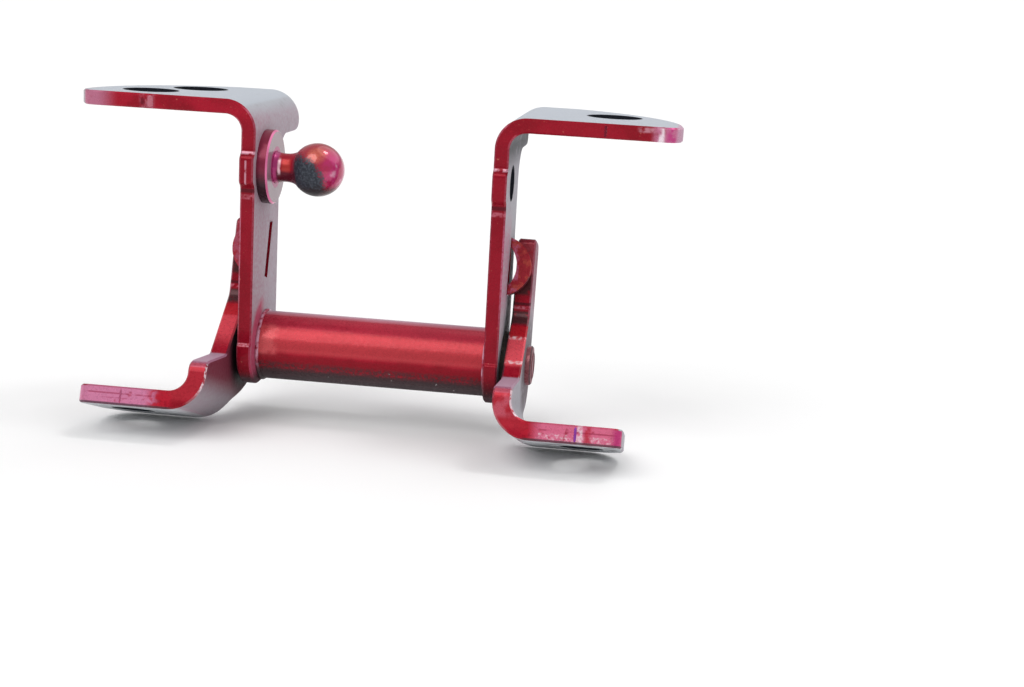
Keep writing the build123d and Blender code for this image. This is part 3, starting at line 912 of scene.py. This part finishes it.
class Surface:
    """Surfaces worked out on a grid of two parameters, with the rows and columns of each."""

    ring_grid = (12, 96)
    neck_grid = (28, 64)
    rib_grid = (15, 14)

    @staticmethod
    def circle(count: int) -> np.ndarray:
        """Angles of points spread evenly round a circle."""
        return np.linspace(0.0, 2 * np.pi, count, endpoint=False)

    @staticmethod
    def grid(x: np.ndarray, y: np.ndarray, z: np.ndarray) -> np.ndarray:
        """Points of three coordinates that are spread to one shape."""
        return np.stack(np.broadcast_arrays(x, y, z), axis=-1)

    @staticmethod
    def mesh(name: str, points: np.ndarray, closing: Closing) -> Piece:
        """Makes an object of quads from a grid of points.

        Args:
            name: Name of the object.
            points: Array of shape (rows, columns, 3), in metres.
            closing: How the grid closes.

        Returns:
            The new object, at the origin.
        """
        rows, columns = points.shape[:2]
        row_steps = np.arange(rows if closing is Closing.RING else rows - 1)
        column_steps = np.arange(columns - 1 if closing is Closing.SHEET else columns)
        i, j = (part.ravel() for part in np.meshgrid(row_steps, column_steps, indexing="ij"))
        down, right = (i + 1) % rows, (j + 1) % columns
        corners = [i * columns + j, down * columns + j, down * columns + right, i * columns + right]
        faces = np.stack(corners, axis=1).tolist()
        if closing is Closing.TUBE:
            faces += [list(range(columns)), list(range(rows * columns - 1, (rows - 1) * columns - 1, -1))]
        mesh = bpy.data.meshes.new(name)
        mesh.from_pydata(points.reshape(-1, 3).tolist(), [], faces)
        mesh.polygons.foreach_set("use_smooth", np.ones(len(mesh.polygons), dtype=bool))
        mesh.update()
        return put_in_scene(name, mesh)

    @staticmethod
    def ring(name: str, centre: Triple, ring: float, bead: float) -> Piece:
        """A bead carried round the X axis.

        A circle of radius bead is carried round a circle of radius ring, so that
        point(a, b) = centre + (bead sin b, (ring + bead cos b) cos a, (ring + bead cos b) sin a).

        Args:
            name: Name of the object.
            centre: Middle of the ring, in metres.
            ring: Radius of the ring.
            bead: Radius of the bead.

        Returns:
            The new object.
        """
        rows, columns = Surface.ring_grid
        a, b = Surface.circle(columns)[None, :], Surface.circle(rows)[:, None]
        reach = ring + bead * np.cos(b)
        points = Surface.grid(bead * np.sin(b), reach * np.cos(a), reach * np.sin(a))
        return Surface.mesh(name, points + np.array(centre), Closing.RING)

    @staticmethod
    def neck(name: str, ends: tuple[float, float], axis: tuple[float, float], radius: float, root: float,
             cup: float) -> Piece:
        """A waisted neck turned about a line along X.

        Its radius is r(u) = radius + root (1 - u)^6 + cup u^5 from its root (u = 0) to its cup (u = 1),
        so that point(u, v) = (start + u (end - start), y + r cos v, z + r sin v).

        Args:
            name: Name of the object.
            ends: X of its root and of its cup, in metres.
            axis: Y and Z of the line.
            radius: Radius of the waist.
            root: How much wider the root is.
            cup: How much wider the cup is.

        Returns:
            The new object.
        """
        rows, columns = Surface.neck_grid
        u, v = np.linspace(0.0, 1.0, rows)[:, None], Surface.circle(columns)[None, :]
        (start, end), (y, z) = ends, axis
        reach = radius + root * (1.0 - u) ** 6 + cup * u ** 5
        points = Surface.grid(start + u * (end - start), y + reach * np.cos(v), z + reach * np.sin(v))
        return Surface.mesh(name, points[:, ::-1], Closing.TUBE)

    @staticmethod
    def rib(name: str, start: Triple, end: Triple, half_width: float, height: float) -> Piece:
        """A low rib across a sheared edge, half sunk in the metal.

        An ellipse of half_width along X and height outwards is carried from start to end and shrinks to
        almost nothing at both:
        point(u, v) = start + u (end - start) + s(u) (half_width cos v X + height sin v out),
        with s(u) = (1 - (2u - 1)^6)^0.5 and out square to the rib and to X.

        Args:
            name: Name of the object.
            start: Upper end of the rib, in metres.
            end: Lower end of the rib.
            half_width: Half of its width along X.
            height: How far it stands out.

        Returns:
            The new object.
        """
        first, across = np.array(start), np.array(ACROSS)
        way = np.array(end) - first
        out = np.cross(across, way / np.linalg.norm(way))
        rows, columns = Surface.rib_grid
        u, v = np.linspace(0.0, 1.0, rows)[:, None, None], Surface.circle(columns)[None, :, None]
        swell = np.sqrt(np.clip(1.0 - (2.0 * u - 1.0) ** 6, 1e-4, 1.0))
        points = first + u * way + swell * (half_width * np.cos(v) * across + height * np.sin(v) * out)
        return Surface.mesh(name, points, Closing.TUBE)


def dress(node: str, material: Material) -> None:
    """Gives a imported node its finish.

    Args:
        node: Name of the node.
        material: Finish for all of its faces.
    """
    target = frame["nodes"][node]
    target.data.materials.clear()
    target.data.materials.append(material)
    LOG.info("dressed %s with %s", node, material.name)


def add(piece: Piece, body: Body, material: Material) -> None:
    """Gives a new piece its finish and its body.

    Args:
        piece: The new object.
        body: Body that carries it.
        material: Its finish.
    """
    piece.data.materials.append(material)
    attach(piece, body.value)
    LOG.info("built %s on %s", piece.name, body.value)


@dataclass(frozen=True)
class Rib:
    """A shear rib on a front edge: its place along X, its half width, its height and its colour."""

    name: str
    x: float
    half_width: float
    height: float
    colour: Colour

    def build(self, start: Triple, end: Triple, body: Body) -> None:
        """Raises the rib.

        Args:
            start: Upper end, in metres.
            end: Lower end.
            body: Body that carries it.
        """
        paint = SprayedPaint(f"{self.name}_paint", red=self.colour, deep_red=self.colour, rim=0.0).build()
        add(Surface.rib(self.name, start, end, self.half_width, self.height), body, paint)


@dataclass
class DoorSide:
    """Brackets, cross tube, ball stud and bushes, which swing with the door."""

    sheet: float = 3.5 * MM
    plate_front: float = -12.5 * MM
    seam_bead: float = 0.45 * MM
    seam_inset: float = 0.35 * MM
    stud_line: tuple[float, float] = (STUD_LINE[0] * MM, STUD_LINE[1] * MM)
    neck_ends: tuple[float, float] = (-26.02 * MM, -19.82 * MM)
    neck_radius: float = 3.42 * MM
    neck_root: float = 0.6 * MM
    neck_cup: float = 1.42 * MM
    peen_ring: float = 3.4 * MM
    peen_bead: float = 0.25 * MM
    rib_inset: float = 0.1
    ribs: tuple[Rib, ...] = (
        Rib("flange_rib_left", -54.4 * MM, 0.7 * MM, 0.14 * MM, (0.50, 0.15, 0.20)),
        Rib("flange_rib_right", 54.2 * MM, 0.3 * MM, 0.14 * MM, (0.16, 0.005, 0.02)),
    )

    def dress_brackets(self) -> None:
        """Sprays the two brackets."""
        holes = ("door_hole_left_front", "door_hole_left_back", "door_hole_right", "spare_stud_hole")
        paint = SprayedPaint("bracket_paint", bores=holes, touches=BRACKET_TOUCHES).build()
        for node in ("door_bracket_left", "door_bracket_right"):
            dress(node, paint)

    def dress_tube(self) -> None:
        """Sprays the tube with painted highlight and shade bands, and leaves its underside brown, partly as
        painted shade.
        """
        paint = SprayedPaint("tube_paint", front=-20.0, fade=1.0, rim=0.0, touches=TUBE_TOUCHES)
        dress("cross_tube", paint.build())

    def dress_stud(self) -> None:
        """Sprays the stud and rubs its ball."""
        dress("ball_stud", RubbedBall("ball_paint").build())

    def dress_bushes(self) -> None:
        """Greases the bushes."""
        bronze = BushBronze("bush_bronze").build()
        for node in ("pin_bush_left", "pin_bush_right"):
            dress(node, bronze)

    def build_seams(self) -> None:
        """Lays a bead of paint round each end of the tube."""
        low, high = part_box("cross_tube")
        radius = (high[2] - low[2]) / 2
        paint = SeamPaint("seam_paint").build()
        ends = (("tube_seam_left", low[0] + self.seam_inset), ("tube_seam_right", high[0] - self.seam_inset))
        for name, x in ends:
            bead = Surface.ring(name, (x, 0.0, 0.0), radius, self.seam_bead)
            add(bead, Body.DOOR_SIDE, paint)

    def build_ribs(self) -> None:
        """Raises the small shear rib on the front edge of each flange."""
        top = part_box("door_bracket_right")[1][2]
        for rib in self.ribs:
            start = (rib.x, self.plate_front, top - self.rib_inset * self.sheet)
            end = (rib.x, self.plate_front, top - (1.0 - self.rib_inset) * self.sheet)
            rib.build(start, end, Body.DOOR_SIDE)

    def build_stud_details(self) -> None:
        """Turns the waisted neck of the stud, and the ring that the rivet tool left on its tail."""
        paint = frame["nodes"]["ball_stud"].data.materials[0]
        neck = Surface.neck("stud_neck", self.neck_ends, self.stud_line, self.neck_radius, self.neck_root,
                            self.neck_cup)
        add(neck, Body.DOOR_SIDE, paint)
        tail = (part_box("ball_stud")[0][0], *self.stud_line)
        ring = Surface.ring("stud_peen_ring", tail, self.peen_ring, self.peen_bead)
        add(ring, Body.DOOR_SIDE, paint)

    def build(self) -> None:
        """Dresses the nodes and adds the seams, the ribs and the stud's details."""
        self.dress_brackets()
        self.dress_tube()
        self.dress_stud()
        self.dress_bushes()
        self.build_seams()
        self.build_ribs()
        self.build_stud_details()


@dataclass
class BodySide:
    """Body leaves and hinge pin, which stay with the car."""

    sheet: float = 4.4 * MM
    foot_front: float = -30.5 * MM
    foot_low: float = -20.2 * MM
    peen_ring: float = 3.2 * MM
    peen_bead: float = 0.25 * MM
    rib_inset: float = 0.1
    ribs: tuple[Rib, ...] = (
        Rib("foot_rib_left", -53.4 * MM, 0.22 * MM, 0.12 * MM, (0.44, 0.10, 0.20)),
        Rib("foot_rib_right", 53.2 * MM, 0.30 * MM, 0.16 * MM, (0.24, 0.05, 0.36)),
    )

    @staticmethod
    def leaned(x: float, forth: float, rise: float) -> Triple:
        """Turns a point of the leaf's own leaning frame into the hinge's frame.

        Args:
            x: Along the pin.
            forth: Along the foot, back from the pivot line.
            rise: Up from the pivot line.

        Returns:
            The point in the hinge's frame.
        """
        cosine, sine = math.cos(math.radians(LEAF_LEAN)), math.sin(math.radians(LEAF_LEAN))
        return (x, forth * cosine + rise * sine, rise * cosine - forth * sine)

    def dress_leaves(self) -> None:
        """Sprays the two leaves."""
        holes = ("body_hole_left", "body_hole_right")
        paint = SprayedPaint("leaf_paint", front=-36.0, fade=7.0, bores=holes, touches=LEAF_TOUCHES).build()
        for node in ("body_leaf_left", "body_leaf_right"):
            dress(node, paint)

    def dress_pin(self) -> None:
        """Sprays the pin with its heads."""
        paint = SprayedPaint("pin_paint", red=(0.22, 0.005, 0.018), front=-6.0, touches=PIN_TOUCHES)
        dress("hinge_pin", paint.build())

    def build_ribs(self) -> None:
        """Raises the small shear rib on the front edge of each foot."""
        for rib in self.ribs:
            start = self.leaned(rib.x, self.foot_front, self.foot_low + (1.0 - self.rib_inset) * self.sheet)
            end = self.leaned(rib.x, self.foot_front, self.foot_low + self.rib_inset * self.sheet)
            rib.build(start, end, Body.BODY_SIDE)

    def build_peens(self) -> None:
        """Lays the ring that the rivet tool left on each head of the pin."""
        paint = frame["nodes"]["hinge_pin"].data.materials[0]
        low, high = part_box("hinge_pin")
        for name, x in (("pin_peen_ring_left", low[0]), ("pin_peen_ring_right", high[0])):
            ring = Surface.ring(name, (x, 0.0, 0.0), self.peen_ring, self.peen_bead)
            add(ring, Body.BODY_SIDE, paint)

    def build(self) -> None:
        """Dresses the nodes and adds the ribs and the rivet rings."""
        self.dress_leaves()
        self.dress_pin()
        self.build_ribs()
        self.build_peens()


@dataclass(frozen=True)
class PhotoCamera:
    """Pinhole camera at the photograph's angle."""

    place: Triple = (74.4 * MM, -384.1 * MM, 90.1 * MM)
    yaw: float = -6.0
    pitch: float = 12.4
    roll: float = 3.3
    focal_pixels: float = 1600.0
    width_pixels: int = 1024
    sensor: float = 36.0
    nearest: float = 0.01
    furthest: float = 500.0

    def axes(self) -> Matrix:
        """The camera's right, up and forward directions.

        The three rows come from a turn about Z by yaw, then a tip by pitch, then a roll about the view.

        Returns:
            Matrix of three unit rows.
        """
        yaw, pitch, roll = (math.radians(angle) for angle in (self.yaw, self.pitch, self.roll))
        swap = Matrix(((1.0, 0.0, 0.0), (0.0, 0.0, 1.0), (0.0, 1.0, 0.0)))
        tipped = Matrix.Rotation(-pitch, 3, "X") @ swap @ Matrix.Rotation(yaw, 3, "Z")
        return Matrix.Rotation(-roll, 3, "Z") @ tipped

    def build(self) -> None:
        """Makes the camera and gives it to the scene."""
        data = bpy.data.cameras.new("photo_camera")
        data.sensor_fit = "HORIZONTAL"
        data.sensor_width = self.sensor
        data.lens = self.focal_pixels * self.sensor / self.width_pixels
        data.clip_start = self.nearest
        data.clip_end = self.furthest
        camera = put_in_scene("photo_camera", data)
        right, up, forward = self.axes()
        turned = Matrix((right, up, -forward)).transposed().to_4x4()
        camera.matrix_world = Matrix.Translation(self.place) @ turned
        bpy.context.scene.camera = camera
        LOG.info("placed %s", camera.name)


@dataclass(frozen=True)
class WideSun:
    """A lamp as far off as the sun, softened by its spread in degrees."""

    name: str
    comes_from: Triple
    power: float
    spread: float

    def build(self) -> None:
        """Hangs the lamp."""
        data = bpy.data.lights.new(self.name, "SUN")
        data.energy = self.power
        data.angle = math.radians(self.spread)
        lamp = put_in_scene(self.name, data)
        lamp.matrix_world = (-Vector(self.comes_from)).to_track_quat("-Z", "Y").to_matrix().to_4x4()
        LOG.info("lit %s", self.name)


@dataclass(frozen=True)
class Studio:
    """Pale floor, even sky, two broad lamps and a narrower one for the gleam."""

    floor_half: float = 40.0
    floor_rows: int = 24
    floor_columns: int = 9
    floor_gap: float = 0.2 * MM
    rise_from: float = 3.0
    slope: float = 0.4
    sky_colour: Colour = (1.0, 1.0, 1.0)
    sky: float = 0.50
    lamps: tuple[WideSun, ...] = (
        WideSun("front_sun", (-0.45, -0.70, 1.0), 1.20, 45.0),
        WideSun("back_sun", (0.55, 0.45, 1.0), 0.80, 70.0),
        WideSun("gleam_sun", (0.35, 0.18, 0.92), 0.36, 13.0),
    )

    def lay_floor(self) -> None:
        """Lays the floor, which rises gently far behind the hinge.

        The sheet is flat up to rise_from, and beyond it
        z = level + slope (y - rise_from)^2 / (2 floor_half).
        """
        across = np.linspace(-self.floor_half, self.floor_half, self.floor_columns)[None, :]
        behind = np.linspace(self.floor_half, self.rise_from, self.floor_rows)
        along = np.append(behind, -self.floor_half)[:, None]
        level = CAD_BOX[0][2] - self.floor_gap
        height = level + self.slope * np.clip(along - self.rise_from, 0.0, None) ** 2 / (2 * self.floor_half)
        floor = Surface.mesh("pale_floor", Surface.grid(across, along, height), Closing.SHEET)
        floor.data.materials.append(PaleFloor("floor_paper").build())

    def build(self) -> None:
        """Lays the floor, sets the sky and hangs the lamps."""
        self.lay_floor()
        world = bpy.data.worlds.new("even_sky")
        world.use_nodes = True
        sky = world.node_tree.nodes["Background"]
        sky.inputs["Color"].default_value = (*self.sky_colour, 1.0)
        sky.inputs["Strength"].default_value = self.sky
        bpy.context.scene.world = world
        for lamp in self.lamps:
            lamp.build()


def main() -> None:
    """Builds the dressed hinge, the studio and the camera."""
    logging.basicConfig(level=logging.INFO, format="%(name)s: %(message)s")
    bpy.context.scene.view_settings.view_transform = "Standard"
    DoorSide().build()
    BodySide().build()
    Studio().build()
    PhotoCamera().build()


if __name__ == "__main__":
    main()
